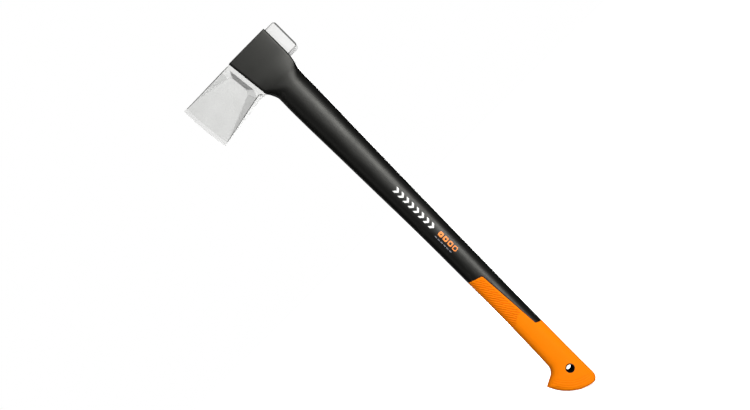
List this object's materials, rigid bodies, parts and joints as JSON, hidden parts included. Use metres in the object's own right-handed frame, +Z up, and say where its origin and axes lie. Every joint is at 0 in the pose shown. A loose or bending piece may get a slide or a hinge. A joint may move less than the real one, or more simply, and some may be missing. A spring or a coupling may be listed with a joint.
{
  "type": "splitting axe",
  "caption": "Long splitting axe: wedge-shaped steel head with hollowed cheeks, black composite handle moulded round it, ribbed soft grip and hooked butt.",
  "frame": {"origin": "centre of the hang hole, on the axe's plane of symmetry", "axes": "+Z up the handle to the head, -X to the cutting edge, +X to the poll, +Y along the hang hole"},
  "size_m": [0.2045, 0.051, 0.7733],
  "materials": {
    "head_steel": "forged steel with a pale satin low-friction coating on the cheeks and a bright ground bevel",
    "handle_composite": "black glass-fibre reinforced plastic, finely textured, satin",
    "soft_grip": "orange soft-touch elastomer with fine slanted ribs",
    "plug_plastic": "black moulded plastic"
  },
  "bodies": {
    "root": {"axe_head": "head_steel", "handle": "handle_composite", "grip": "soft_grip", "channel_plug": "plug_plastic"}
  },
  "joints": []
}
